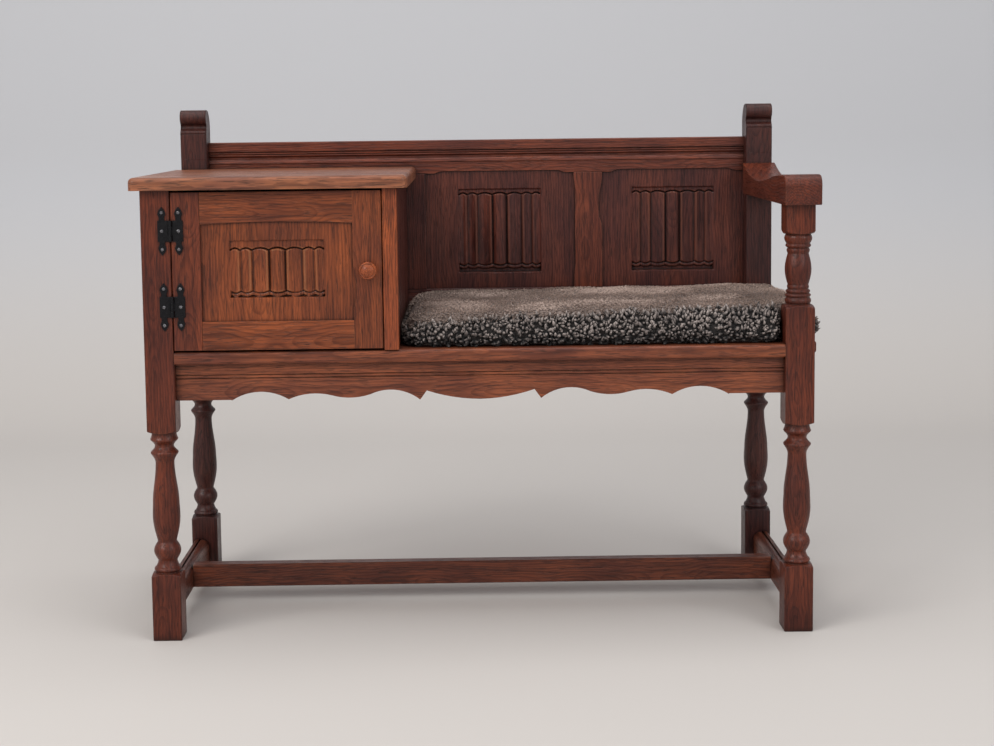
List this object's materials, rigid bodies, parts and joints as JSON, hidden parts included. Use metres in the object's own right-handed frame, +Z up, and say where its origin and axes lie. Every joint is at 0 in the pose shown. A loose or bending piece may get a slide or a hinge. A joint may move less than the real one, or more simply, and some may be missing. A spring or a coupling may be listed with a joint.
{
  "type": "settle bench",
  "caption": "Oak settle with turned legs, a carved panelled back, one arm, a seat with a sheepskin pad and a cupboard with a hinged door at its left end.",
  "frame": {"origin": "on the floor, in the middle of the plan outline that the cupboard top, seat pad, arm and rear posts span", "axes": "+X to the right as one faces the front, +Y to the back, +Z up"},
  "size_m": [1.134, 0.472, 0.881],
  "materials": {
    "oak_front": "reddish brown stained oak with open grain, soft wax sheen",
    "oak_door": "reddish brown stained oak with open grain, soft wax sheen",
    "oak_back": "darker brown stained oak, soft wax sheen",
    "oak_cupboard_top": "worn and paler stained oak, soft wax sheen",
    "oak_stretcher": "brown stained oak, worn edges",
    "oak_plain": "plain brown oak",
    "knob_oak": "dark turned wood, polished",
    "black_iron": "black painted iron, satin",
    "nail_iron": "black iron rubbed bright on the crowns",
    "catch_plastic": "brown moulded plastic, matt",
    "strike_steel": "plain steel",
    "sheepskin": "taupe sheepskin with darker curls along its front edge"
  },
  "bodies": {
    "settle": {"armrest": "oak_front", "back_bottom_rail": "oak_back", "back_centre_muntin": "oak_back", "back_left_muntin": "oak_back", "back_top_rail": "oak_back", "cabinet_back_panel": "oak_back", "cabinet_front_stile": "oak_front", "cabinet_left_side": "oak_plain", "cabinet_right_side": "oak_front", "cabinet_top": "oak_cupboard_top", "centre_stretcher": "oak_stretcher", "door_catch": "catch_plastic", "front_left_post": "oak_front", "front_rail": "oak_front", "front_right_post": "oak_front", "hinge_pins": "black_iron", "left_linenfold_panel": "oak_back", "left_seat_rail": "oak_plain", "left_stretcher": "oak_stretcher", "post_hinge_leaves": "black_iron", "post_hinge_nails": "nail_iron", "rear_left_post": "oak_back", "rear_right_post": "oak_back", "rear_seat_rail": "oak_back", "right_linenfold_panel": "oak_back", "right_seat_rail": "oak_plain", "right_stretcher": "oak_stretcher", "seat_board": "oak_front", "seat_corner_blocks": "oak_plain", "seat_pad": "sheepskin"},
    "door": {"door_bottom_rail": "oak_door", "door_hinge_leaves": "black_iron", "door_hinge_nails": "nail_iron", "door_hinge_stile": "oak_door", "door_knob": "knob_oak", "door_lock_stile": "oak_door", "door_panel": "oak_door", "door_strike_plate": "strike_steel", "door_top_rail": "oak_door"}
  },
  "joints": [
    {"name": "door_swing", "type": "hinge", "parent": "settle", "child": "door", "pos_m": [-0.50225, -0.2164, 0.616], "axis": [0, 0, -1], "range_deg": [0, 170]}
  ]
}
